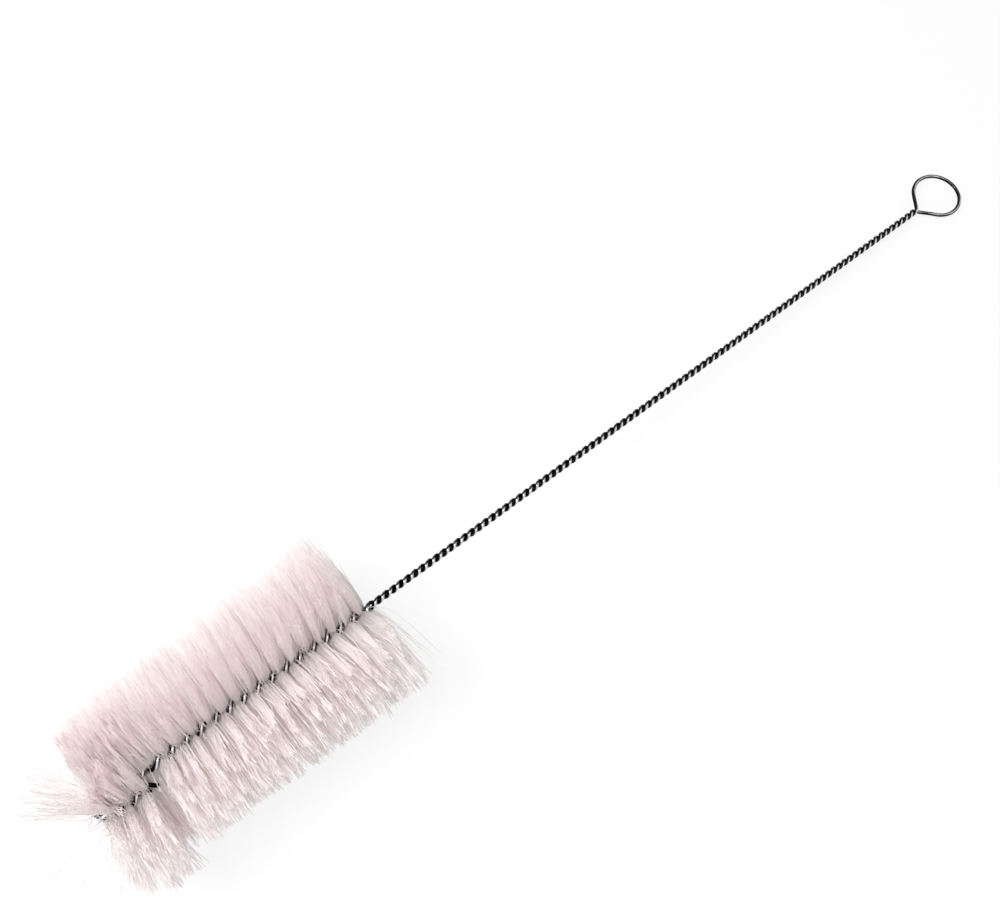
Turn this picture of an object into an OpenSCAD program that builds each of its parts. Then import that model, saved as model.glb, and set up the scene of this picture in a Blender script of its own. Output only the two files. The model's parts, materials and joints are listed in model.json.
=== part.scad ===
// Bottle brush, lying on a table: one steel wire folded in two and twisted, which grips nylon bristles.
// +X runs from the brush's tip to its hanging eye and +Z is up. The brush rests on the rear edge of its
// bristles and on the far side of its eye, so its stem slopes. The origin is on the table, under the stem,
// halfway along.

/* [Bristles] */
// Diameter over the bristle tips where the head begins, at the handle
rear_d = 64; // [40:1:90]
// Diameter over the bristle tips where the head ends, at the turned tip
tip_d = 59; // [40:1:90]
// Length of the straight bristled part
head_len = 104; // [60:1:150]
// Diameter of one bristle
bristle_d = 0.25; // [0.2:0.05:0.3]
// Clear gap from one bristle to the next along the stem
bristle_gap = 0.05; // [0.04:0.01:0.5]
// Angle by which bristles stray to either side of their helical row
bristle_stray = 42; // [0:1:42]
// Angle by which bristles lean along the stem, either way
bristle_lean = 3.5; // [0:0.5:3.5]
// How far the bristles give way under the brush where it lies on them
settle = 1.5; // [0:0.1:3]

/* [Wire] */
// Diameter of the wire
wire_d = 1.5; // [1:0.1:2]
// Length of the twisted handle, from the bristles to the eye
handle_len = 285; // [150:1:400]
// Pitch of the handle: its length in one full turn of the twist
handle_pitch = 6.38; // [6:0.01:10]
// Pitch of the stem inside the bristles
head_pitch = 11.2; // [10:0.1:16]
// Thickness of the layer of bristles that the two wires grip
grip_gap = 1.8; // [1.2:0.1:2.2]
// Length over which the wires close from the grip to the handle
neck_len = 3; // [3:0.5:10]

/* [Turned-back tip] */
// Diameter over the bristles that fan out round the outside of the turned tip
fan_d = 50; // [40:1:59]
// Clear gap between the stem and the tail that is turned back beside it
tail_gap = 1; // [0.3:0.1:4]
// Length of the bristled part of the tail, past the bend
tail_len = 13; // [8:1:30]
// Length of bare wire at the end of the tail
tail_bare = 3; // [1:0.5:6]
// How much shorter one of the wire's two cut ends is
end_step = 2.8; // [0:0.1:5]

/* [Eye] */
// Inside diameter of the hanging eye
eye_d = 18.3; // [12:0.1:30]
// Length of the eye's two straight legs, from the twist to the round
eye_leg_len = 8.3; // [4:0.1:15]

/* [Hidden] */

wire_sides = 6;
bristle_sides = 3;
handle_turn_rings = 6;
grip_turn_rings = 8;
wire_gap = 0.02; // between the two wires of the handle
twist_start = 90; // one wire passes over the other where they part into the eye

// Distances from the strand's axis to a wire's. The handle's allows for the straight runs between its
// rings.
handle_r = (wire_d + wire_gap) / 2 / cos(180 / handle_turn_rings);
grip_r = (wire_d + grip_gap) / 2;

bristle_step = bristle_d + bristle_gap;

// The strand is measured from the eye: along the handle, the head, the turned tip and the tail.
bend_r = grip_r + wire_d / 2 + tail_gap / 2;
bend_len = PI * bend_r;
head_start = handle_len;
bend_start = handle_len + head_len;
tail_start = bend_start + bend_len;
wire_end = tail_start + tail_len + tail_bare;

eye_r = (eye_d + wire_d) / 2;
eye_reach = norm([eye_leg_len, eye_r]); // from the end of the twist to the middle of the eye
eye_spread = asin(eye_r / eye_reach); // angle of each leg to the stem
eye_len = eye_reach + eye_r;

// The stem slopes until the eye and the rear edge of the bristles stand on the table.
rest_r = rear_d / 2 - settle;
slope = atan((rest_r - wire_d / 2) / (handle_len + eye_len));

// 0 before a, 1 after b and a straight ramp between them
function ramp(a, b, q) = min(1, max(0, (q - a) / (b - a)));

neck_start = head_start - neck_len;
handle_rate = 360 / handle_pitch;
head_rate = 360 / head_pitch;

function strand_r(q) = handle_r + (grip_r - handle_r) * ramp(neck_start, head_start, q);

// Angle of the twist at q, whose rate changes evenly along the neck
function twist(q) =
    let (u = ramp(neck_start, head_start, q))
    let (in_neck = neck_len * (handle_rate * u + (head_rate - handle_rate) * u * u / 2))
    twist_start + handle_rate * min(q, neck_start) + in_neck + head_rate * max(0, q - head_start);

// Angle through which the strand has turned in the bend at q
function turned(q) = 180 * ramp(bend_start, tail_start, q);

// Distance run before the bend is reached, and after it
function ahead(q) = max(0, bend_start - q);
function past(q) = max(0, q - tail_start);

// A point at q, by its outward and upward offsets from the strand's axis. X is 0 at the rear of the head.
function at_strand(q, out, up) =
    let (r = bend_r + out)
    [ahead(q) + past(q) - head_len - r * sin(turned(q)), r * cos(turned(q)) - bend_r, up];

function wire_point(q, phase) =
    let (a = twist(q) + phase, r = strand_r(q))
    at_strand(q, r * cos(a), r * sin(a));

// Places of the wire's rings along the strand
handle_rings = ceil(neck_start / handle_pitch * handle_turn_rings);
grip_rings = ceil((wire_end - neck_start) / head_pitch * grip_turn_rings);
ring_places = concat(
    [for (i = [0 : handle_rings - 1]) neck_start * i / handle_rings],
    [for (i = [0 : grip_rings]) neck_start + (wire_end - neck_start) * i / grip_rings]
);
last_ring = len(ring_places) - 1;
short_ring = last_ring - round(end_step / head_pitch * grip_turn_rings);

// The eye: two straight legs that come down from the crossing, and the round between them
eye_steps = 22;
function eye_leg(t, side) =
    let (l = eye_leg_len * t)
    [handle_len + l * cos(eye_spread), side * l * sin(eye_spread), side * handle_r * (1 - t)];
function eye_round(a) = [handle_len + eye_reach + eye_r * cos(a), eye_r * sin(a), 0];
round_end = 90 + eye_spread;
eye_points = concat(
    [for (t = [0.33, 0.67]) eye_leg(t, 1)],
    [for (i = [0 : eye_steps]) eye_round(round_end * (1 - 2 * i / eye_steps))],
    [for (t = [0.67, 0.33]) eye_leg(t, -1)]
);

wire_path = concat(
    [for (i = [short_ring : -1 : 0]) wire_point(ring_places[i], 0)],
    eye_points,
    [for (i = [0 : last_ring]) wire_point(ring_places[i], 180)]
);

function unit(v) = v / norm(v);

// Direction of a path at each of its points
function headings(path) =
    let (last = len(path) - 1)
    [for (i = [0 : last]) unit(path[min(last, i + 1)] - path[max(0, i - 1)])];

// The part of a vector that is square to a direction
function square_to(v, dir) = unit(v - (v * dir) * dir);

// A side vector at each point, carried along the path without twisting
function sides_along(dirs) = [
    for (
        i = 0, side = square_to([0, 1, 0], dirs[0]);
        i < len(dirs);
        i = i + 1, side = i < len(dirs) ? square_to(side, dirs[i]) : side
    )
        side
];

// A round rod swept along a path
module swept_rod(path, d, sides) {
    dirs = headings(path);
    across = sides_along(dirs);
    last = len(path) - 1;
    points = [
        for (i = [0 : last])
            let (up = cross(dirs[i], across[i]))
            for (k = [0 : sides - 1])
                let (a = 360 * k / sides)
                path[i] + d / 2 * (across[i] * cos(a) + up * sin(a))
    ];
    walls = [
        for (i = [0 : last - 1])
            for (k = [0 : sides - 1])
                let (a = i * sides + k, b = i * sides + (k + 1) % sides)
                each [[b, a, a + sides], [b, a + sides, b + sides]]
    ];
    first_cap = [for (k = [0 : sides - 1]) k];
    last_cap = [for (k = [sides - 1 : -1 : 0]) last * sides + k];
    polyhedron(points, concat([first_cap, last_cap], walls), convexity = 10);
}

// Puts the stem, drawn along X, on the table
module on_table() {
    translate([-(tip_x + eye_x) / 2, 0, rest_r * cos(slope)])
        rotate([0, slope, 0])
            children();
}

// Puts a bristle, drawn along Z, at q on the strand, at an angle around it
module at_twist(q, angle) {
    translate(at_strand(q, 0, 0))
        rotate([0, 0, turned(q)])
            rotate([angle - 90, 0, 0])
                children();
}

// Height of the strand's axis above the table
function axis_height(q) = rest_r * cos(slope) - at_strand(q, 0, 0)[0] * sin(slope);

// Radius to which the bristles at q are trimmed. The fan is shorter than the rest, until it nears the tail.
function in_fan(q) = q > bend_start && turned(q) < 130;
function trim_r(q) = in_fan(q) ? fan_d / 2 : (rear_d + (tip_d - rear_d) * ramp(head_start, bend_start, q)) / 2;

// How far a bristle reaches from the axis at q, at an angle around it: to the trimmed round of the head, or
// to the table if that is nearer. Within blocked degrees of the inside of the turned tip it has no room, and
// stays short.
function reach(q, angle, blocked, lean) =
    let (down = sin(lean) * sin(slope) - sin(angle) * cos(lean) * cos(slope))
    let (side = abs(cos(angle)) * bristle_d / 2)
    -cos(angle) > cos(blocked) ? bristle_d :
    down > 0 ? min(trim_r(q), (axis_height(q) - side) / down) : trim_r(q);

// The two wires cross the stem at a slant, and leave the bristles this much room on each side of their
// row.
slant = atan(2 * PI * grip_r / head_pitch);
wire_shade = asin(min(1, (wire_d / cos(slant) + bristle_d) / (2 * grip_r)));
stray_room = max(0, 90 - wire_shade - head_rate * bristle_d / 2);

// From -1 to 1, spread evenly over the numbers of the bristles
function spread(number, share) = 2 * (number * share - floor(number * share)) - 1;

// Each bristle strays from its row, between the wires, and leans along the stem, as its number sets.
function stray(number) = min(bristle_stray, stray_room) * spread(number, 0.618);
function lean(number) = bristle_lean * spread(number, 0.4142);
function bristle_angle(q, number) = twist(q) + 90 + stray(number);

// One bristle through the strand at q
module bristle(q, number, blocked, lean) {
    angle = bristle_angle(q, number);
    low = -reach(q, angle + 180, blocked, -lean);
    high = reach(q, angle, blocked, lean);
    at_twist(q, angle)
        rotate([0, lean, 0])
            translate([0, 0, low])
                cylinder(h = high - low, d = bristle_d, $fn = bristle_sides);
}

head_count = floor(head_len / bristle_step);
function station(i) = (i + 0.5) * bristle_step; // from the rear of the head

// Beside the tail no bristle has room to point at it, and none leans. Every other place there is left to
// the tail's own bristles.
tail_room = asin((grip_r + wire_d / 2 + bristle_d) / (2 * bend_r));
function beside_tail(i) = station(i) > head_len - tail_len - tail_bare - wire_d;
function in_tail(i) = i % 2 == 1 && station(i) > head_len - tail_len;

bend_count = floor(bend_len / bristle_step);
bend_room = 75; // only what stands nearly square to the bend passes inside it
function in_bend(i) = bend_start + (i + 0.5) * bend_len / bend_count;

// The two ends of the brush on the table, from the rear of the head
function on_x(p) = p[0] * cos(slope) + p[2] * sin(slope);
function fan_end(q, angle) =
    let (r = reach(q, angle, bend_room, 0))
    on_x(at_strand(q, r * cos(angle), r * sin(angle)));
fan_ends = [
    for (i = [0 : bend_count - 1])
        for (side = [0, 180])
            fan_end(in_bend(i), bristle_angle(in_bend(i), i) + side)
];
tip_x = min(fan_ends);
eye_x = on_x([handle_len + eye_len + wire_d / 2, 0, 0]);

// The folded and twisted wire, with its eye and its turned-back tail
module wire() {
    color("dimgray")
        on_table()
            swept_rod(wire_path, wire_d, wire_sides);
}

// The bristles of the straight head
module head_bristles() {
    color("mistyrose")
        on_table()
            for (i = [0 : head_count - 1])
                if (beside_tail(i)) {
                    if (!in_tail(i))
                        bristle(head_start + station(i), i, tail_room, 0);
                }
                else
                    bristle(head_start + station(i), i, 0, lean(i));
}

// The bristles that fan out around the turned tip, and those of the tail
module tip_bristles() {
    color("mistyrose")
        on_table() {
            for (i = [0 : bend_count - 1])
                bristle(in_bend(i), i, bend_room, 0);
            for (i = [0 : head_count - 1])
                if (in_tail(i))
                    bristle(tail_start + head_len - station(i), i, tail_room, 0);
        }
}

wire();
head_bristles();
tip_bristles();
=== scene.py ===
"""Looks of a bottle brush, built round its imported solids.

The wire is one drawn steel wire: folded, twisted, and turned back at the tip. The bristles are crimped
nylon filaments, each laid through the twist as in a real brush: the two wires grip it at its middle, and its
two arms stray, curl into locks and are trimmed to a round head.
"""

import json
import math

import bpy
import numpy as np
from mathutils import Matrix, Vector
from mathutils.kdtree import KDTree


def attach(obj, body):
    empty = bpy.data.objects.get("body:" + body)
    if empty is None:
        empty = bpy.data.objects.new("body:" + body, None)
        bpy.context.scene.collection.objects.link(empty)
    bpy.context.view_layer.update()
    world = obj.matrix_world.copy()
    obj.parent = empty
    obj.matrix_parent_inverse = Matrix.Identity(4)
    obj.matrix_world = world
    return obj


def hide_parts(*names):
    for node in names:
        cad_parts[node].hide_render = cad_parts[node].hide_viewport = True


bl_info = {
    "name": "Bottle Brush Looks",
    "version": (1, 0, 0),
    "blender": (4, 5, 0),
    "location": "View3D > Sidebar > Bottle Brush",
    "description": "Twisted wire, crimped bristles and a plain stage for a bottle brush",
    "category": "Object",
}

MM = 0.001
TAU = 2 * math.pi
TINY = 1e-9  # keeps a sign or a division away from nought

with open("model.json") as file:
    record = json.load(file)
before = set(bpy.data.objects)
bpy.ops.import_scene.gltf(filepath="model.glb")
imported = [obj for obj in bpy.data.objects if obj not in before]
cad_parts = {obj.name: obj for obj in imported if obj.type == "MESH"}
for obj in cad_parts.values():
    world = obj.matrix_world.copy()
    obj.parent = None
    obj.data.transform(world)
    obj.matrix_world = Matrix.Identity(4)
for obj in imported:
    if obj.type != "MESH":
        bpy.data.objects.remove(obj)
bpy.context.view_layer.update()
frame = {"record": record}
EYE_MOUNT = next(m for m in frame["record"]["mounts"] if m["name"] == "hanging_eye")


def linear(code):
    """Linear RGB of an sRGB hex value."""
    shares = [int(code[i : i + 2], 16) / 255 for i in (1, 3, 5)]
    return tuple(c / 12.92 if c <= 0.04045 else ((c + 0.055) / 1.055) ** 2.4 for c in shares)


def size(name, default, description):
    """A length that the user can change, given in millimetres."""
    return bpy.props.FloatProperty(
        name=name, default=default * MM, min=0.0, unit="LENGTH", precision=5, description=description
    )


def colour(name, code, description):
    """A colour that the user can change, given as an sRGB hex value."""
    return bpy.props.FloatVectorProperty(
        name=name,
        default=linear(code),
        size=3,
        min=0.0,
        max=1.0,
        subtype="COLOR",
        description=description,
    )


class BrushWire(bpy.types.PropertyGroup):
    """Sizes of the folded and twisted wire."""

    diameter: size("Wire", 1.5, "Diameter of the wire")
    handle_length: size("Handle", 285, "Length of the bare twist, from the bristles to the eye")
    handle_pitch: size("Handle pitch", 6.38, "Length of the handle in one full turn of its twist")
    head_pitch: size("Head pitch", 11.2, "Length of the stem in one full turn, inside the bristles")
    grip_gap: size("Grip", 1.8, "Thickness of the layer of bristles between the two wires")
    neck_length: size("Neck", 3, "Length over which the wires close from the grip to the handle")
    tail_gap: size("Tail gap", 1.0, "Clear gap between the stem and the tail turned back beside it")
    tail_length: size("Tail", 13, "Length of the bristled part of the tail")
    tail_bare: size("Bare end", 3, "Length of bare wire at the end of the tail")
    end_step: size("End step", 2.8, "How much shorter one of the wire's two cut ends is")
    eye_leg: size("Eye leg", 8.3, "Length of each straight leg of the eye")
    eye_inner: size("Eye", 2 * EYE_MOUNT["dims"]["r_mm"], "Inside diameter of the hanging eye")


class BrushBristles(bpy.types.PropertyGroup):
    """Sizes of the bristles and of the head that they make."""

    diameter: size("Bristle", 0.28, "Diameter of one bristle")
    head_length: size("Head", 104, "Length of the straight bristled part")
    rear_diameter: size("Rear", 64, "Diameter over the bristles next to the handle")
    tip_diameter: size("Tip", 59, "Diameter over the bristles at the turned tip")
    fan_diameter: size("Fan", 50, "Diameter over the bristles round the outside of the turned tip")
    spacing: size("Spacing", 0.022, "Length of stem for each bristle")
    crimp_height: size("Crimp", 0.22, "Height of a bristle's waves to either side")
    crimp_length: size("Crimp length", 5.2, "Length of one wave of a bristle")
    stray: bpy.props.FloatProperty(
        name="Stray",
        default=math.radians(75),
        subtype="ANGLE",
        description="Angle by which bristles stray to either side of their helical row",
    )


class BrushFinish(bpy.types.PropertyGroup):
    """Colours of the brush and of its stage."""

    bristle_tip: colour("Bristle tip", "#FFF9F9", "Nylon at the trimmed ends")
    bristle_root: colour("Bristle root", "#FFFEFD", "Nylon deep in the head")
    # painted shade: the bristles' roots next to the wire are painted darker in place of the shade there
    bristle_grip_shade: colour("Bristle stain", "#A79FA2", "Nylon where the wire grips it")
    # painted dark reflection: the handle's steel is painted near black in place of the dark room that it
    # mirrors
    wire_painted_dark: colour("Tarnished wire", "#1A191B", "Steel of the handle, dulled by handling")
    # painted highlight: the crests of the handle's twist are painted bright, as glints
    wire_painted_glint: colour("Rubbed wire", "#D8D8DC", "Crests of the handle's twist, rubbed bright")
    # painted shade: the flanks of the wire between the bristles are painted dark
    wire_painted_shade: colour("Shaded wire", "#3C3A3D", "Grimy flanks of the wire between the bristles")
    # painted highlight: the crests of the wire between the bristles are painted near white
    wire_painted_highlight: colour("Bright wire", "#F6F6F8", "Crests of the wire between the bristles")
    floor: colour("Floor", "#FFFFFF", "Floor and background")


# ---------------------------------------------------------------- the strand


class Strand:
    """The twisted pair of wires, measured in millimetres from the eye: handle, head, turned tip and tail."""

    WIRE_GAP = 0.02  # clear gap between the two wires in the handle
    TWIST_START = 90.0  # angle of the twist at the eye, in degrees

    def __init__(self, wire, bristles):
        self.wire_d = wire.diameter / MM
        self.handle_r = (self.wire_d + self.WIRE_GAP) / 2
        self.grip_gap = wire.grip_gap / MM
        self.grip_r = (self.wire_d + self.grip_gap) / 2
        self.head_start = wire.handle_length / MM
        self.head_len = bristles.head_length / MM
        self.bend_start = self.head_start + self.head_len
        self.bend_r = self.grip_r + self.wire_d / 2 + wire.tail_gap / MM / 2
        self.tail_start = self.bend_start + math.pi * self.bend_r
        self.tail_end = self.tail_start + wire.tail_length / MM
        self.wire_end = self.tail_end + wire.tail_bare / MM
        self.short_end = self.wire_end - wire.end_step / MM
        self.neck_len = wire.neck_length / MM
        self.neck_start = self.head_start - self.neck_len
        self.handle_rate = 360 / (wire.handle_pitch / MM)
        self.head_rate = 360 / (wire.head_pitch / MM)
        self.eye_leg = wire.eye_leg / MM
        self.eye_r = (wire.eye_inner / MM + self.wire_d) / 2
        self.eye_reach = math.hypot(self.eye_leg, self.eye_r)
        self.eye_spread = math.asin(self.eye_r / self.eye_reach)
        normal = np.array(EYE_MOUNT["axis"], float)
        self.up = normal / np.linalg.norm(normal)
        self.side = np.array([0.0, 1.0, 0.0])
        self.along = np.cross(self.side, self.up)
        eye = np.array(EYE_MOUNT["pos_m"], float) / MM
        self.origin = eye - self.along * (self.head_start + self.eye_reach)

    def opened(self, q):
        """Share of the neck that is passed at q, from 0 to 1."""
        return np.clip((q - self.neck_start) / self.neck_len, 0, 1)

    def turned(self, q):
        """Share of the turn at the tip that is passed at q, from 0 to 1."""
        return np.clip((q - self.bend_start) / (self.tail_start - self.bend_start), 0, 1)

    def radius(self, q):
        """From the strand's axis to a wire's."""
        return self.handle_r + (self.grip_r - self.handle_r) * self.opened(q)

    def twist(self, q):
        """Angle of the twist, in degrees. Its rate changes evenly along the neck."""
        u = self.opened(q)
        neck = self.neck_len * (self.handle_rate * u + (self.head_rate - self.handle_rate) * u * u / 2)
        handle = self.handle_rate * np.minimum(q, self.neck_start)
        return self.TWIST_START + handle + neck + self.head_rate * np.maximum(0, q - self.head_start)

    def axis(self, q, out=0.0, up=0.0):
        """Points at q, by their outward and upward offsets from the strand's axis."""
        angle = math.pi * self.turned(q)
        ahead = np.maximum(0, self.bend_start - q)
        past = np.maximum(0, q - self.tail_start)
        r = self.bend_r + out
        x = ahead + past - self.head_len - r * np.sin(angle)
        y = r * np.cos(angle) - self.bend_r
        return np.stack([x, y, np.broadcast_to(up, np.shape(x))], -1)

    def backward(self, q):
        """Unit vectors along the strand towards the eye."""
        angle = math.pi * self.turned(q)
        return np.stack([np.cos(angle), np.sin(angle), np.zeros_like(angle)], -1)

    def placed(self, points):
        """Points of the strand's own frame, in the row frame."""
        basis = np.stack([self.along, self.side, self.up])
        return self.origin + points @ basis


def wrapped(angle):
    """The same angle, between -pi and pi."""
    return (angle + math.pi) % TAU - math.pi


# ---------------------------------------------------------------- making meshes


def only(obj):
    """Selects one object and nothing else."""
    bpy.ops.object.select_all(action="DESELECT")
    obj.select_set(True)
    bpy.context.view_layer.objects.active = obj
    return obj


def named(name):
    """Names the active object and its data."""
    obj = bpy.context.object
    obj.name = name
    obj.data.name = name
    return obj


def give(obj, material):
    """Makes a material the object's only one."""
    obj.data.materials.clear()
    obj.data.materials.append(material)


def on_points(obj, name, values):
    """Stores one number for each vertex."""
    store = obj.data.attributes.new(name, "FLOAT", "POINT")
    store.data.foreach_set("value", np.asarray(values, np.float32).ravel())


# ---------------------------------------------------------------- materials


def add(tree, kind, settings=None, **links):
    """Adds a node. Settings name its properties or inputs, and links name its inputs and what feeds them."""
    node = tree.nodes.new(kind)
    for key, value in (settings or {}).items():
        if isinstance(key, str) and hasattr(node, key):
            setattr(node, key, value)
        else:
            node.inputs[key].default_value = value
    for key, source in links.items():
        place = int(key[1:]) if key[0] == "_" and key[1:].isdigit() else key.replace("_", " ")
        tree.links.new(source, node.inputs[place])
    return node


def blend(tree, factor, first, second):
    """A mix of two colours, each given as RGB or as the output that feeds it."""
    mix = add(tree, "ShaderNodeMix", {"data_type": "RGBA"}, Factor=factor)
    for key, value in (("A", first), ("B", second)):
        if isinstance(value, bpy.types.NodeSocket):
            tree.links.new(value, mix.inputs[key])
        else:
            mix.inputs[key].default_value = (*value, 1)
    return mix.outputs["Result"]


def bare_tree(owner):
    """The emptied node tree of a material or a world."""
    owner.use_nodes = True
    owner.node_tree.nodes.clear()
    return owner.node_tree


def seen_or_mirrored(tree):
    """1 for rays that the camera or a mirror sends, and 0 for those that carry light."""
    path = add(tree, "ShaderNodeLightPath")
    rays = {"_0": path.outputs["Is Camera Ray"], "_1": path.outputs["Is Glossy Ray"]}
    return add(tree, "ShaderNodeMath", {"operation": "MAXIMUM"}, **rays).outputs[0]


def surface(name):
    """A new material, its node tree and its Principled shader."""
    material = bpy.data.materials.new(name)
    material.use_nodes = True
    return material, material.node_tree, material.node_tree.nodes["Principled BSDF"]


def crimped_nylon(finish):
    """Natural nylon, extruded and crimped: off-white and softly glossy, with painted shade where the wire
    grips it.
    """
    material, tree, shader = surface("crimped_nylon")
    reach, tone = (
        add(tree, "ShaderNodeAttribute", {"attribute_name": name}).outputs["Fac"]
        for name in ("reach", "tone")
    )
    clean = blend(tree, reach, finish.bristle_root, finish.bristle_tip)
    # the first 2 mm are painted darker, as painted shade next to the wire that grips them
    grip = {"interpolation_type": "SMOOTHSTEP", "From Min": 0.04, "From Max": 0.08}
    past_grip = add(tree, "ShaderNodeMapRange", grip, Value=reach)
    grip_shaded = blend(tree, past_grip.outputs["Result"], finish.bristle_grip_shade, clean)
    varied = add(tree, "ShaderNodeHueSaturation", Color=grip_shaded, Value=tone)
    tree.links.new(varied.outputs["Color"], shader.inputs["Base Color"])
    shader.inputs["Roughness"].default_value = 0.4
    shader.inputs["IOR"].default_value = 1.53
    return material


def drawn_steel(finish):
    """Drawn steel wire, bare and twisted cold: its die lines run along it. Its colour is painted light: the
    flanks are painted near black as a painted dark reflection on the handle and as painted shade between the
    bristles, and the crests of the twist carry a painted highlight, brighter between the bristles."""
    material, tree, shader = surface("drawn_steel")
    inside, outer, aside, along = (
        add(tree, "ShaderNodeAttribute", {"attribute_name": name}).outputs["Fac"]
        for name in ("inside", "outer", "aside", "along")
    )
    place = add(tree, "ShaderNodeCombineXYZ", X=outer, Y=aside, Z=along).outputs["Vector"]

    def streaks(shrink, scale, detail):
        """Noise drawn out along the wire."""
        stretch = {"operation": "MULTIPLY", 1: (1.0, 1.0, shrink)}
        vector = add(tree, "ShaderNodeVectorMath", stretch, _0=place).outputs["Vector"]
        noise = add(tree, "ShaderNodeTexNoise", {"Scale": scale, "Detail": detail}, Vector=vector)
        return noise.outputs["Fac"]

    # blotches 3 mm long that break up the edge of the painted highlight on the crests, and die lines coarser
    # than real ones so that they show
    blotches = streaks(0.33, 1.0, 2.0)
    lines = streaks(0.02, 4.0, 1.0)

    spread = {"From Min": 0.0, "From Max": 1.0, "To Min": -0.25, "To Max": 0.25}
    glint_edge = add(tree, "ShaderNodeMapRange", spread, Value=blotches)
    height = add(tree, "ShaderNodeMath", {"operation": "ADD"}, _0=outer, _1=glint_edge.outputs["Result"])
    band = {"interpolation_type": "SMOOTHSTEP", "From Min": 0.7, "From Max": 0.95}
    crest = add(tree, "ShaderNodeMapRange", band, Value=height.outputs["Value"])
    # painted light: the flanks get a painted dark reflection or painted shade, and the crests a painted
    # highlight
    flank = blend(tree, inside, finish.wire_painted_dark, finish.wire_painted_shade)
    glinting = blend(tree, inside, finish.wire_painted_glint, finish.wire_painted_highlight)
    tone = blend(tree, crest.outputs["Result"], flank, glinting)
    tree.links.new(tone, shader.inputs["Base Color"])
    smooth = add(tree, "ShaderNodeMapRange", {"To Min": 0.36, "To Max": 0.2}, Value=crest.outputs["Result"])
    tree.links.new(smooth.outputs["Result"], shader.inputs["Roughness"])
    relief = add(tree, "ShaderNodeBump", {"Strength": 0.25, "Distance": 0.02 * MM}, Height=lines)
    tree.links.new(relief.outputs["Normal"], shader.inputs["Normal"])
    shader.inputs["Metallic"].default_value = 1.0
    return material


# ---------------------------------------------------------------- the wire


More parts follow.
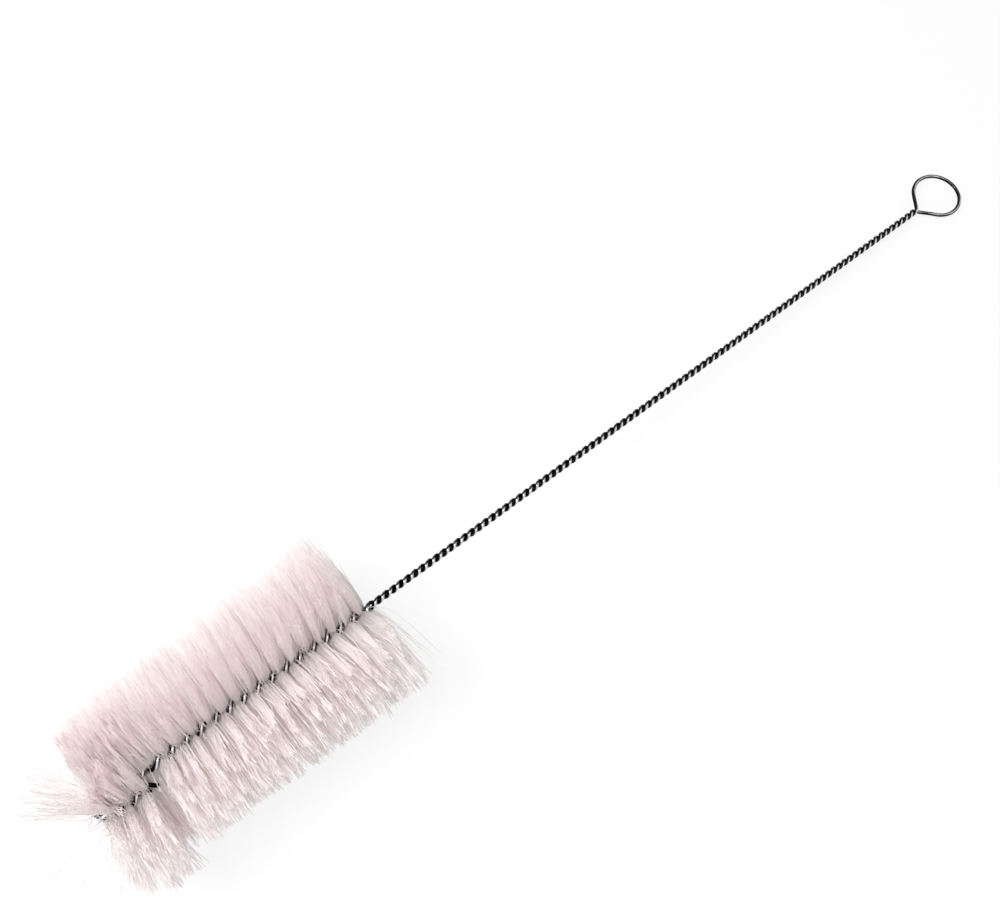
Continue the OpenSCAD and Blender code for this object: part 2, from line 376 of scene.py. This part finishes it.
class BOTTLE_OT_wire(bpy.types.Operator):
    """Sweeps the folded wire along its twist, its eye and its turned-back tail"""

    bl_idname = "bottle_brush.wire"
    bl_label = "Folded Wire"

    TURN_RINGS = 20  # rings in each turn of the twist
    SIDES = 12
    EYE_STEPS = 72
    LEG_STEPS = 8  # steps in each straight leg of the eye
    MERGE = 0.01  # corners that lie this close become one, in millimetres
    # past this point the bare end takes the handle's painted dark reflection and painted highlight
    BARE_EDGE = 1.0  # the wire is dark again from this far before the tail's last bristles

    def places(self, strand, end):
        """Distances along the strand at which a leg has a ring."""
        handle = strand.neck_start * strand.handle_rate / 360 * self.TURN_RINGS
        grip = (end - strand.neck_start) * strand.head_rate / 360 * self.TURN_RINGS
        near = np.linspace(0, strand.neck_start, round(handle), endpoint=False)
        return np.concatenate([near, np.linspace(strand.neck_start, end, round(grip))])

    def leg(self, strand, phase, end):
        """One leg's line, from the eye to its cut end, with its way outward from the strand's axis."""
        q = self.places(strand, end)
        angle = np.radians(strand.twist(q) + phase)
        r = strand.radius(q)
        line = strand.axis(q, r * np.cos(angle), r * np.sin(angle))
        return line, line - strand.axis(q), q

    def eye(self, strand):
        """The eye's line: down one straight leg, round, and up the other."""
        joint = strand.head_start
        t = np.linspace(0, 1, self.LEG_STEPS + 1)[1:-1]
        legs = []
        for side in (1, -1):
            ahead = joint + strand.eye_leg * t * math.cos(strand.eye_spread)
            apart = strand.eye_leg * t * math.sin(strand.eye_spread)
            rise = strand.handle_r * (1 + np.cos(math.pi * t)) / 2
            legs.append(np.stack([ahead, side * apart, side * rise], -1))
        end = math.pi / 2 + strand.eye_spread
        a = np.linspace(end, -end, self.EYE_STEPS)
        middle = joint + strand.eye_reach
        ring = np.stack([middle + strand.eye_r * np.cos(a), strand.eye_r * np.sin(a), np.zeros_like(a)], -1)
        return np.concatenate([legs[0], ring, legs[1][::-1]])

    def execute(self, context):
        scene = context.scene
        strand = Strand(scene.brush_wire, scene.brush_bristles)
        first, first_out, first_q = self.leg(strand, 0, strand.short_end)
        second, second_out, second_q = self.leg(strand, 180, strand.wire_end)
        eye = self.eye(strand)
        line = strand.placed(np.concatenate([first[::-1], eye, second])) * MM
        up = np.tile([0.0, 0.0, strand.handle_r], (len(eye), 1))
        outward = np.concatenate([first_out[::-1], up, second_out])
        place = np.concatenate([first_q[::-1], np.zeros(len(eye)), second_q])

        curve = bpy.data.curves.new("folded_wire", "CURVE")
        curve.dimensions = "3D"
        curve.bevel_depth = strand.wire_d / 2 * MM
        curve.bevel_resolution = (self.SIDES - 4) // 2
        curve.use_fill_caps = True
        spline = curve.splines.new("POLY")
        spline.points.add(len(line) - 1)
        spline.points.foreach_set("co", np.c_[line, np.ones(len(line))].ravel())
        obj = bpy.data.objects.new("folded_wire", curve)
        context.collection.objects.link(obj)
        only(obj)
        bpy.ops.object.convert(target="MESH")
        obj = named("folded_wire")
        bpy.ops.object.mode_set(mode="EDIT")
        bpy.ops.mesh.select_all(action="SELECT")
        bpy.ops.mesh.remove_doubles(threshold=self.MERGE * MM)
        bpy.ops.mesh.normals_make_consistent(inside=False)
        bpy.ops.object.mode_set(mode="OBJECT")
        bpy.ops.object.shade_smooth_by_angle(angle=math.radians(50))

        self.store(obj, strand, line, outward, place)
        give(obj, drawn_steel(scene.brush_finish))
        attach(obj, "root")
        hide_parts("wire")
        return {"FINISHED"}

    def store(self, obj, strand, line, outward, place):
        """Stores for each vertex its place along the wire in millimetres, its direction round the wire,
        with 1 for the crest of the twist, and 1 where it is between the bristles."""
        tree = KDTree(len(line))
        for i, point in enumerate(line):
            tree.insert(point, i)
        tree.balance()
        nearest = [tree.find(v.co)[1] for v in obj.data.vertices]
        outward = strand.placed(outward) - strand.origin
        outward /= np.linalg.norm(outward, axis=1, keepdims=True)
        ahead = np.gradient(line, axis=0)
        ahead /= np.linalg.norm(ahead, axis=1, keepdims=True)
        run = np.concatenate([[0], np.cumsum(np.linalg.norm(np.diff(line, axis=0), axis=1))]) / MM
        offset = np.array([v.co for v in obj.data.vertices]) - line[nearest]
        offset /= np.linalg.norm(offset, axis=1, keepdims=True) + TINY
        on_points(obj, "outer", np.sum(offset * outward[nearest], axis=1))
        on_points(obj, "aside", np.sum(offset * np.cross(ahead, outward)[nearest], axis=1))
        on_points(obj, "along", run[nearest])
        bristled = np.clip(strand.tail_end - self.BARE_EDGE - place, 0, 1)
        inside = strand.opened(place) * bristled
        on_points(obj, "inside", inside[nearest])


# ---------------------------------------------------------------- the bristles


def grown(pair, share):
    """The pair's first number, with its second one added as the share goes from 0 to 1."""
    start, gain = pair
    return start + gain * share


class Locks:
    """Crimped bristles laid through the strand, between two places on it. Lengths are in millimetres, and
    angles in degrees unless a comment says otherwise. A spread is a standard deviation. The head's fine side
    is the one away from the tail, and its coarse side the tail's."""

    SIDES = 3
    ARM_STEPS = 12

    # where the arms point
    ROW_CALM = 0.6  # how much less the arms of a row that stands upright stray
    PARTING = 16.3  # the bristles part at this angle from upright, on the tail's side
    PARTING_GAP = 13  # angle to either side of the parting that is left open
    PARTING_REACH = 38  # angle to either side of it in which arms are turned away
    BESIDE = 2  # the stem's bristles give way to the tail from this far before its end
    OVER_STEM = (75, 25)  # angle above the inside of the turn that arms are lifted to, and its range
    OVER_TAIL = (115, 15)  # the same where the tail lies beside the stem
    FAN_OPEN = 62  # half angle in which the inside of the turned tip leaves no room
    TAIL_OPEN = 40  # the same beside the tail
    OPEN_RANGE = (-6, 10)  # what chance adds to the last two
    UNDER_STEM = 0.9  # arms that leave the tail this near to the stem, in radians, pass below it
    SPLIT = (0.34, 0.6)  # part of the turn in which the fan is split into upper and lower bristles
    SPLIT_WIDE = 1.2  # how far out from level the split reaches, in radians
    SPLIT_AIM = (1.1, 1.7)  # where it turns the arms to
    EASING = 2.2  # length in which an arm turns halfway from its row to its aim
    PUSHED_EASING = 1.5  # the same where a wire pushes it

    # how they gather in locks
    COARSE_FALL = 0.9  # how fast the head goes from fine to coarse across its middle
    ARM_CALM = 0.4  # how much less upright arms mix and lean
    MIXING = (1.9, -0.5)  # spread of the arms along the stem, and what the coarse side adds
    MIXED = 2.5  # length in which rows mix with the next ones
    LOCK_LENGTH = (0.9, 1.3)  # length of stem that feeds one lock, on the fine and on the coarse side
    LOCK_ANGLE = (10, 12)  # angle round the stem that feeds one lock, likewise
    STAGGER = 0.25  # how far each arm's locks are shifted along the stem, as a share of a lock
    KEYS = (7919, 1009)  # primes that keep the locks' numbers apart
    GATHER = (0.1, 0.4)  # how far arms go to the middle of their lock, and what the coarse side adds
    LOCK_LEAN = (1.0, 1.2)  # spread of the locks' lean along the stem, and what the coarse side adds
    LOCK_TURN = (1.5, 0.6)  # spread of their turn round it, and what the coarse side adds
    LEAN = 1.2  # spread of each arm's own lean
    CURL = 0.45  # spread of each arm's bow along the stem, at its tip
    LATE = 1.5  # locks close with this power of the way out

    # how they are crimped and trimmed
    CRIMP = (0.5, 0.2)  # share of the crimp's full height, and what the coarse side adds
    CRIMP_FROM = 8  # length from the stem in which the crimp comes up
    CRIMP_PHASE = 0.4  # spread of the waves within a lock, in radians
    CRIMP_SIDE = 0.5  # spread of the plane of the waves, in radians
    LONGER = 0.9  # how much longer than the trimmed head the arms are, on the whole
    TRIM = 0.3  # spread of each arm's own length
    LOCK_TRIM = (0.45, 0.7)  # spread of the locks' length, and what the coarse side adds
    REAR_TRIM = 1.2  # spread that the locks next to the handle have besides
    REAR_LONGER = 2.5  # how much longer those are on the fine side
    REAR_REACH = 8  # length of head in which that fades
    FAN_END = 130 / 180  # the fan's diameter holds up to this share of the turn
    FAN_TRIM = (0.68, 0.86)  # shortest arm of the turn's first and second half, as a share of the radius
    SQUARE_SIDE = 0.6  # the ends of the head are square up to this coarseness
    TURNED_BACK = 0.3  # share by which what would pass the head's end is turned back from it
    TABLE_CLEAR = 0.15  # the lowest bristles' height above the table
    TABLE_SLIDE = 0.7  # how far out a bristle slides for each millimetre that the table lifts it
    TONE = 0.05  # spread of the bristles' brightness

    # the first rows and the turned tip
    INWARD = (10, 8)  # how far the first rows lean towards the tip, and length in which that fades
    OUTWARD = (3, 6)  # the same for locks on the coarse side that splay out along the handle
    WILD_LOCKS = 0.93  # those that drew more than this splay out further
    WILD_OUTWARD = 9
    SPILL = (3.5, 5)  # how far the coarse side is pushed out along the neck, and length in which that fades
    COMBED = 0.85  # how far the turn's second half is combed towards the tip, as a share of half a circle
    UNCOMBED = 0.06  # share of its arms that aren't

    def __init__(self, strand, bristles, seed, arm_steps=ARM_STEPS):
        self.strand = strand
        self.b = bristles
        self.random = np.random.default_rng(seed)
        self.d = bristles.diameter / MM
        self.arm_steps = arm_steps

    def filament(self):
        """One straight three-sided bristle of unit size, modelled once: corners, their rings, and faces."""
        bpy.ops.object.select_all(action="DESELECT")
        bpy.ops.mesh.primitive_cylinder_add(vertices=self.SIDES, radius=1, depth=2)
        obj = bpy.context.object
        bpy.ops.object.mode_set(mode="EDIT")
        bpy.ops.mesh.select_mode(type="EDGE")
        bpy.ops.mesh.select_all(action="DESELECT")
        bpy.ops.object.mode_set(mode="OBJECT")
        for edge in obj.data.edges:
            a, b = (obj.data.vertices[i].co for i in edge.vertices)
            edge.select = abs(a.z - b.z) > 1
        bpy.ops.object.mode_set(mode="EDIT")
        bpy.ops.mesh.subdivide(number_cuts=2 * self.arm_steps - 1)
        bpy.ops.object.mode_set(mode="OBJECT")
        corners = np.array([v.co for v in obj.data.vertices])
        ring = np.round((corners[:, 2] + 1) * self.arm_steps).astype(int)
        faces = [list(p.vertices) for p in obj.data.polygons]
        bpy.data.objects.remove(obj)
        return corners[:, :2], ring, faces

    def coarseness(self, aim, turned):
        """0 on the head's fine side, and 1 on its coarse and ragged one, where the tail lies."""
        across = np.cos(aim) * np.cos(math.pi * turned)
        return np.clip(0.5 - self.COARSE_FALL * across, 0, 1)

    def numbered(self, place, aim, coarse, side):
        """Puts arms that end near each other in one lock. Returns each arm's lock, and their number."""
        rough = coarse > 0.5
        length = np.where(rough, self.LOCK_LENGTH[1], self.LOCK_LENGTH[0])
        width = np.where(rough, self.LOCK_ANGLE[1], self.LOCK_ANGLE[0])
        row = np.floor(place / length + self.STAGGER * side).astype(int)
        column = np.floor(np.degrees(aim) / width).astype(int)
        locks, lock = np.unique(rough * self.KEYS[0] + row * self.KEYS[1] + column, return_inverse=True)
        return lock, len(locks)

    def arms(self, q, v, side):
        """Lines of one arm of each bristle, from the grip to the tip, in the strand's own frame."""
        s, r, n = self.strand, self.random, len(q)
        row = np.radians(s.twist(q) + 90) + (0 if side > 0 else math.pi)
        between = np.radians(s.twist(q))
        in_head = q < s.bend_start
        in_tail = q > s.tail_start
        turned = s.turned(q)

        # where each arm points in the end, from its place in the grip
        facing = np.clip(np.sin(row), 0, 1) ** 2
        share = 0.5 * side * v / (s.grip_gap / 2) + 0.5 * r.uniform(-1, 1, n)
        aim = row + self.b.stray * share * (1 - self.ROW_CALM * facing)
        aim, easing = self.pushed_aside(q, row, aim, in_head, in_tail)
        stray, aim = wrapped(aim - row), wrapped(aim)
        coarse = self.coarseness(aim, turned)
        upright = np.clip(np.sin(aim), 0, 1) ** 2
        calm = 1 - self.ARM_CALM * upright

        # arms mix with those of the next rows, and those that end near each other lean together in locks
        mixing = r.normal(0, 1, n) * grown(self.MIXING, coarse) * calm
        lock, locks = self.numbered(q + mixing, aim, coarse, side)
        members = np.bincount(lock)
        middle_q = (np.bincount(lock, q + mixing) / members)[lock]
        middle_a = (np.bincount(lock, aim) / members)[lock]
        gather = grown(self.GATHER, coarse)
        lock_lean = r.normal(0, 1, locks)[lock] * np.radians(grown(self.LOCK_LEAN, coarse)) * calm
        lock_turn = r.normal(0, 1, locks)[lock] * np.radians(grown(self.LOCK_TURN, coarse))
        rear = np.exp(-(q - s.head_start) / self.REAR_REACH)
        uneven = grown(self.LOCK_TRIM, coarse) + self.REAR_TRIM * rear
        lock_len = self.LONGER + r.normal(0, 1, locks)[lock] * uneven
        lock_len = lock_len + self.REAR_LONGER * rear * (1 - coarse)
        lock_phase = r.uniform(0, TAU, locks)[lock]
        lock_side = r.normal(0, self.CRIMP_SIDE, locks)[lock]
        splay = r.uniform(0, 1, locks)[lock]

        lean = np.radians(r.normal(0, self.LEAN, n)) * calm + self.flare(q, coarse, upright, splay)
        combed = (turned > 0.5) & ~in_tail & (r.uniform(0, 1, n) > self.UNCOMBED)
        towards_tip = self.COMBED * math.pi * (1 - turned) * np.clip(np.cos(aim), 0, 1)
        lean = lean + np.where(combed, towards_tip, 0)
        length = self.trim(q, turned, in_head | in_tail) + lock_len + r.normal(0, self.TRIM, n)
        t = np.arange(self.arm_steps + 1) / self.arm_steps
        run = length[:, None] * t
        late = t**self.LATE
        freed = run / (run + easing[:, None]) * (1 + easing / length)[:, None]
        angle = row[:, None] + stray[:, None] * freed
        angle = angle + ((middle_a - aim) * gather + lock_turn)[:, None] * late
        curl = (r.normal(0, self.CURL, n) * calm)[:, None] * late * t
        wave = self.crimp(run, coarse, lock_phase + r.normal(0, self.CRIMP_PHASE, n))

        radial = run * np.cos(lean)[:, None]
        leaning = lean[:, None] + lock_lean[:, None] * late
        moved = (mixing + self.spill(q, coarse))[:, None] * (1 - np.exp(-run / self.MIXED))
        axial = run * np.sin(leaning) + moved
        axial = axial + ((middle_q - q - mixing) * gather)[:, None] * late + curl
        axial = self.squared(q, axial, coarse, in_head) + wave * np.cos(lock_side)[:, None]
        aside = wave * np.sin(lock_side)[:, None]
        out = v[:, None] * np.cos(between)[:, None] + radial * np.cos(angle) - aside * np.sin(angle)
        up = v[:, None] * np.sin(between)[:, None] + radial * np.sin(angle) + aside * np.cos(angle)
        wide = np.broadcast_to(q[:, None], out.shape)
        return s.axis(wide, out, up) - s.backward(wide) * axial[..., None]

    def crimp(self, run, coarse, phase):
        """The bristles' waves, which come up a little way out from the stem."""
        wave_at = TAU * run / (self.b.crimp_length / MM) + phase[:, None]
        height = self.b.crimp_height / MM * grown(self.CRIMP, coarse[:, None])
        return height * np.clip(run / self.CRIMP_FROM, 0, 1) * np.sin(wave_at)

    def pushed_aside(self, q, row, aim, in_head, in_tail):
        """Turns arms away from the parting and the wires beside them. Also returns how soon they turn."""
        s, r, n = self.strand, self.random, len(q)
        easing = np.full(n, self.EASING)

        # an arm that would point across the turned tip stays above or below it
        beside = (q > s.bend_start - (s.wire_end - s.tail_start) - self.BESIDE) & in_head
        inward = wrapped(aim - math.pi)  # 0 towards the inside of the turned tip, and negative above it
        middle, either = (np.where(beside, *pair) for pair in zip(self.OVER_TAIL, self.OVER_STEM))
        above = middle + either * r.uniform(-1, 1, n)
        below = np.where(beside | in_tail, self.TAIL_OPEN, self.FAN_OPEN) + r.uniform(*self.OPEN_RANGE, n)
        rising = np.sin(row) > 0
        over = rising & (~in_tail | (np.abs(wrapped(row - math.pi)) > self.UNDER_STEM))
        room = np.radians(np.where(inward < 0, above, below))
        near = (beside | ~in_head) & (np.abs(inward) < room)
        aim = np.where(near, np.where(over, math.pi - np.radians(above), np.radians(below) - math.pi), aim)
        easing[near] = self.PUSHED_EASING

        # between its bunches, the fan parts upwards and downwards
        first, last = self.SPLIT
        turned = s.turned(q)
        split = (turned > first) & (turned < last) & (np.abs(aim) < self.SPLIT_WIDE)
        aim = np.where(split, np.sign(aim + TINY) * r.uniform(*self.SPLIT_AIM, n), aim)

        # the parting runs along the top of the stem, and along the tail
        parted = (in_head & ~beside) | in_tail
        parting = math.pi / 2 + np.radians(np.where(in_tail, -self.PARTING, self.PARTING))
        off = wrapped(aim - parting)
        wide, gap = math.radians(self.PARTING_REACH), math.radians(self.PARTING_GAP)
        opened = np.sign(off + TINY) * (gap + (wide - gap) * np.abs(off) / wide)
        shift = np.where(parted & (np.abs(off) < wide), opened - off, 0)
        return aim + shift, easing

    def squared(self, q, axial, coarse, in_head):
        """Keeps the two ends of the head square, except on the ragged side."""
        end = (self.strand.bend_start - q)[:, None]
        limited = np.where(axial > end, end - self.TURNED_BACK * (axial - end), axial)
        start = (self.strand.head_start - q)[:, None]
        limited = np.where(limited < start, start + self.TURNED_BACK * (start - limited), limited)
        return np.where((in_head & (coarse < self.SQUARE_SIDE))[:, None], limited, axial)

    def flare(self, q, coarse, upright, splay):
        """Lean of the first rows: towards the tip, but on the coarse side some locks splay out."""
        ahead = q - self.strand.head_start
        degrees, fade = self.OUTWARD
        wild = self.WILD_OUTWARD * (splay > self.WILD_LOCKS)
        outward = (degrees * splay**3 + wild) * np.exp(-ahead / fade) * coarse * (1 - upright)
        degrees, fade = self.INWARD
        inward = degrees * np.exp(-ahead / fade) * np.clip(2 - 2 * coarse, 0, 1)
        return np.radians(inward - outward)

    def spill(self, q, coarse):
        """How far the first rows on the coarse side are pushed out along the neck."""
        far, fade = self.SPILL
        return -far * np.exp(-(q - self.strand.head_start) / fade) * np.clip(2 * coarse - 1, 0, 1)

    def trim(self, q, turned, straight):
        """Radius to which the bristles are cut."""
        s = self.strand
        u = np.clip((q - s.head_start) / s.head_len, 0, 1)
        rear, tip = self.b.rear_diameter / MM / 2, self.b.tip_diameter / MM / 2
        fan = np.where(turned < self.FAN_END, self.b.fan_diameter / MM / 2, tip)
        ragged = self.random.uniform(np.where(turned < 0.5, *self.FAN_TRIM), 1.0)
        return np.where(straight, rear + (tip - rear) * u, fan * ragged)

    def lines(self, start, end, spacing, bunches):
        """Each bristle's line through the grip, from one tip to the other, in the row frame."""
        r = self.random
        n = round((end - start) / spacing)
        share = (np.arange(n) + r.uniform(0, 1, n)) / n
        q = start + np.interp(share, *bunches) * (end - start)
        v = r.uniform(-0.5, 0.5, n) * (self.strand.grip_gap - self.d)
        one, other = self.arms(q, v, 1), self.arms(q, v, -1)
        both = np.concatenate([other[:, :0:-1], one], 1)
        return self.on_table(self.strand.placed(both))

    def on_table(self, lines):
        """Bristles that reach the table bend along it."""
        low = np.maximum(0, self.TABLE_CLEAR - lines[..., 2])
        lines[..., 1] += np.sign(lines[..., 1]) * self.TABLE_SLIDE * low
        lines[..., 2] = np.maximum(lines[..., 2], self.TABLE_CLEAR)
        return lines

    def build(self, name, start, end, material, sparse=1.0, bunches=((0, 1), (0, 1))):
        """Lays a copy of the filament along every line, as one piece. The bunches say which share of the
        bristles lies before which share of the length."""
        corners, ring, faces = self.filament()
        lines = self.lines(start, end, self.b.spacing / MM * sparse, bunches)
        n, rings = lines.shape[:2]
        ahead = np.gradient(lines, axis=1)
        ahead /= np.linalg.norm(ahead, axis=2, keepdims=True)
        flat = np.cross(ahead, self.strand.along)
        flat /= np.linalg.norm(flat, axis=2, keepdims=True)
        square = np.cross(ahead, flat)
        round_line = flat[:, ring] * corners[None, :, 0:1] + square[:, ring] * corners[None, :, 1:2]
        points = lines[:, ring] + round_line * (self.d / 2)
        obj = self.mesh(name, points, faces)

        reach = np.abs(np.linspace(-1, 1, rings))
        on_points(obj, "reach", np.broadcast_to(reach[ring], points.shape[:2]))
        tone = self.random.normal(1.0, self.TONE, n)
        on_points(obj, "tone", np.broadcast_to(tone[:, None], points.shape[:2]))
        bpy.ops.object.shade_flat()  # smoothed normals on three sides would lose light
        give(obj, material)
        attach(obj, "root")
        return obj

    def mesh(self, name, points, faces):
        """One object from a row of corners for each bristle, all with the same faces."""
        n, count = points.shape[:2]
        shift = np.arange(n)[:, None] * count
        ids = np.concatenate([np.array(face)[None] + shift for face in faces], 1)
        sizes = np.tile([len(face) for face in faces], n)
        mesh = bpy.data.meshes.new(name)
        mesh.vertices.add(n * count)
        mesh.vertices.foreach_set("co", (points * MM).astype(np.float32).ravel())
        mesh.loops.add(ids.size)
        mesh.loops.foreach_set("vertex_index", ids.astype(np.int32).ravel())
        mesh.polygons.add(len(sizes))
        mesh.polygons.foreach_set("loop_start", (np.cumsum(sizes) - sizes).astype(np.int32))
        mesh.update(calc_edges=True)
        obj = bpy.data.objects.new(name, mesh)
        bpy.context.collection.objects.link(obj)
        return only(obj)


class BOTTLE_OT_head_bristles(bpy.types.Operator):
    """Lays the bristles of the straight head, as five pieces from the handle to the tip"""

    bl_idname = "bottle_brush.head_bristles"
    bl_label = "Head Bristles"

    PARTS = ("rear", "mid_rear", "middle", "mid_front", "front")
    FIRST_SEED = 11

    def execute(self, context):
        scene = context.scene
        strand = Strand(scene.brush_wire, scene.brush_bristles)
        material = crimped_nylon(scene.brush_finish)
        part = strand.head_len / len(self.PARTS)
        for i, name in enumerate(self.PARTS):
            start = strand.head_start + i * part
            locks = Locks(strand, scene.brush_bristles, seed=self.FIRST_SEED + i)
            obj = locks.build("head_bristles_" + name, start, start + part, material)
            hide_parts("head_bristles")
        return {"FINISHED"}


class BOTTLE_OT_tip_bristles(bpy.types.Operator):
    """Lays the bristles that fan out round the turned tip, and those of the tail"""

    bl_idname = "bottle_brush.tip_bristles"
    bl_label = "Tip Bristles"

    FAN_SEED = 31
    FAN_SPARSE = 0.9  # length of stem for each bristle, as a share of the head's
    # round the turn the fan opens into a bunch on either side, with few bristles between them
    BUNCHES = ((0, 0.28, 0.42, 1), (0.1, 0.34, 0.6, 1))
    TAIL_SEED = 41
    TAIL_STEPS = 16  # the tail's bristles turn more sharply away from the stem

    def execute(self, context):
        scene = context.scene
        strand = Strand(scene.brush_wire, scene.brush_bristles)
        material = bpy.data.materials["crimped_nylon"]
        fan = Locks(strand, scene.brush_bristles, seed=self.FAN_SEED)
        piece = fan.build(
            "tip_fan", strand.bend_start, strand.tail_start, material, self.FAN_SPARSE, self.BUNCHES
        )
        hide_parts("tip_bristles")
        tail = Locks(strand, scene.brush_bristles, seed=self.TAIL_SEED, arm_steps=self.TAIL_STEPS)
        piece = tail.build("tail_bristles", strand.tail_start, strand.tail_end, material)
        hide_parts("tip_bristles")
        return {"FINISHED"}


# ---------------------------------------------------------------- the stage


def shade(colour, share):
    """A share of a colour, as RGBA."""
    return (*[share * c for c in colour], 1)


class BOTTLE_OT_stage(bpy.types.Operator):
    """Adds a white floor, soft studio light and the camera"""

    bl_idname = "bottle_brush.stage"
    bl_label = "Stage"

    BOUNCES = 24  # light goes deep between white bristles
    FLOOR_SIZE = 6
    FLOOR_MATT = 0.9  # brightness with which the floor lights the brush
    SEEN_MATT, SEEN_GLOW = 0.2, 0.82  # what the camera sees of it: white, with a faint shadow
    SOFT_LIGHT = 0.42
    STUDIO_EDGE = (-0.2, 0.1)  # Y of a mirrored ray where the white studio ends and the dark one begins
    STUDIO_FRONT, STUDIO_REAR = 1.0, 0.03
    LAMPS = (
        # name, place, power in watts, width in metres
        ("key", (-0.6, 0.45, 0.8), 3.2, 0.6),
        ("fill", (-0.34, 0.08, 0.92), 4.2, 0.4),
        ("front", (-0.585, -0.735, 0.4), 0.5, 0.12),
    )
    LAMPS_AIM = (0, 0, 0.02)
    ELEVATION = 70.0
    YAW = 51.47  # the camera looks this far round from +X to +Y
    DISTANCE = 0.433
    LENS, SENSOR = 42.7, 36
    NEAREST = 0.01
    LOOK_FROM_REAR = (0.0723, 0.0157)  # from the rear of the head, along and across the brush

    def execute(self, context):
        scene = context.scene
        scene.view_settings.view_transform = "Standard"
        scene.cycles.max_bounces = self.BOUNCES
        scene.cycles.diffuse_bounces = self.BOUNCES
        strand = Strand(scene.brush_wire, scene.brush_bristles)
        self.floor(scene.brush_finish)
        self.world(scene)
        self.lamps()
        self.camera(scene, strand)
        return {"FINISHED"}

    def floor(self, finish):
        """A matt floor for light, which the camera sees as white with a faint shadow."""
        bpy.ops.object.select_all(action="DESELECT")
        bpy.ops.mesh.primitive_plane_add(size=self.FLOOR_SIZE, location=(0, 0, 0))
        floor = named("floor")
        material = bpy.data.materials.new("white_floor")
        tree = bare_tree(material)
        matt = add(tree, "ShaderNodeBsdfDiffuse", {"Color": shade(finish.floor, self.FLOOR_MATT)}).outputs[0]
        faint = add(tree, "ShaderNodeBsdfDiffuse", {"Color": shade(finish.floor, self.SEEN_MATT)}).outputs[0]
        glow = add(tree, "ShaderNodeEmission", {"Strength": self.SEEN_GLOW}).outputs[0]
        white = add(tree, "ShaderNodeAddShader", _0=faint, _1=glow).outputs[0]
        mix = add(tree, "ShaderNodeMixShader", Fac=seen_or_mirrored(tree), _1=matt, _2=white)
        add(tree, "ShaderNodeOutputMaterial", Surface=mix.outputs[0])
        give(floor, material)

    def world(self, scene):
        """Soft light from all round, and a white background."""
        world = bpy.data.worlds.new("studio")
        scene.world = world
        tree = bare_tree(world)
        soft = {"Color": (1, 1, 1, 1), "Strength": self.SOFT_LIGHT}
        soft = add(tree, "ShaderNodeBackground", soft).outputs[0]
        # the wire mirrors a white studio in front of it and a dark one behind it
        ray = add(tree, "ShaderNodeTexCoord")
        parts = add(tree, "ShaderNodeSeparateXYZ", Vector=ray.outputs["Generated"])
        front, rear = self.STUDIO_EDGE
        split = {"interpolation_type": "SMOOTHSTEP", "From Min": front, "From Max": rear}
        split.update({"To Min": self.STUDIO_FRONT, "To Max": self.STUDIO_REAR})
        studio = add(tree, "ShaderNodeMapRange", split, Value=parts.outputs["Y"]).outputs[0]
        camera = add(tree, "ShaderNodeLightPath").outputs["Is Camera Ray"]
        bright = add(tree, "ShaderNodeMath", {"operation": "MAXIMUM"}, _0=camera, _1=studio).outputs[0]
        white = add(tree, "ShaderNodeBackground", {"Color": (1, 1, 1, 1)}, Strength=bright).outputs[0]
        mix = add(tree, "ShaderNodeMixShader", Fac=seen_or_mirrored(tree), _1=soft, _2=white)
        add(tree, "ShaderNodeOutputWorld", Surface=mix.outputs[0])

    def lamps(self):
        """Square soft boxes, turned to the middle of the brush."""
        for name, place, power, width in self.LAMPS:
            bpy.ops.object.light_add(type="AREA", location=place)
            lamp = bpy.context.object
            lamp.name = name
            lamp.data.energy = power
            lamp.data.size = width
            aim = Vector(self.LAMPS_AIM) - Vector(place)
            lamp.rotation_euler = aim.to_track_quat("-Z", "Y").to_euler()

    def camera(self, scene, strand):
        """A camera that looks down on the brush from its tip's side."""
        e, y = math.radians(self.ELEVATION), math.radians(self.YAW)
        forward = Vector((math.cos(y) * math.cos(e), math.sin(y) * math.cos(e), -math.sin(e)))
        look = Vector(strand.origin * MM) + Vector((*self.LOOK_FROM_REAR, 0))
        bpy.ops.object.camera_add(location=look - forward * self.DISTANCE)
        camera = bpy.context.object
        camera.rotation_euler = forward.to_track_quat("-Z", "Y").to_euler()
        camera.data.lens = self.LENS
        camera.data.sensor_width = self.SENSOR
        camera.data.clip_start = self.NEAREST
        scene.camera = camera


# ---------------------------------------------------------------- the add-on


class BOTTLE_PT_panel(bpy.types.Panel):
    """Lists the brush's sizes, its colours and the steps that build it"""

    bl_idname = "BOTTLE_PT_panel"
    bl_label = "Bottle Brush"
    bl_space_type = "VIEW_3D"
    bl_region_type = "UI"
    bl_category = "Bottle Brush"

    def draw(self, context):
        """Shows every size and colour, then a button for each step."""
        scene = context.scene
        for group in (scene.brush_wire, scene.brush_bristles, scene.brush_finish):
            box = self.layout.box()
            for name in group.__annotations__:
                box.prop(group, name)
        for operator in STEPS:
            self.layout.operator(operator.bl_idname)


GROUPS = {"brush_wire": BrushWire, "brush_bristles": BrushBristles, "brush_finish": BrushFinish}
STEPS = (BOTTLE_OT_wire, BOTTLE_OT_head_bristles, BOTTLE_OT_tip_bristles, BOTTLE_OT_stage)


def register():
    for cls in (*GROUPS.values(), *STEPS, BOTTLE_PT_panel):
        bpy.utils.register_class(cls)
    for name, group in GROUPS.items():
        setattr(bpy.types.Scene, name, bpy.props.PointerProperty(type=group))


def unregister():
    for name in GROUPS:
        delattr(bpy.types.Scene, name)
    for cls in (BOTTLE_PT_panel, *reversed(STEPS), *reversed(GROUPS.values())):
        bpy.utils.unregister_class(cls)


def main():
    register()
    bpy.ops.bottle_brush.wire()
    bpy.ops.bottle_brush.head_bristles()
    bpy.ops.bottle_brush.tip_bristles()
    bpy.ops.bottle_brush.stage()


if __name__ == "__main__":
    main()
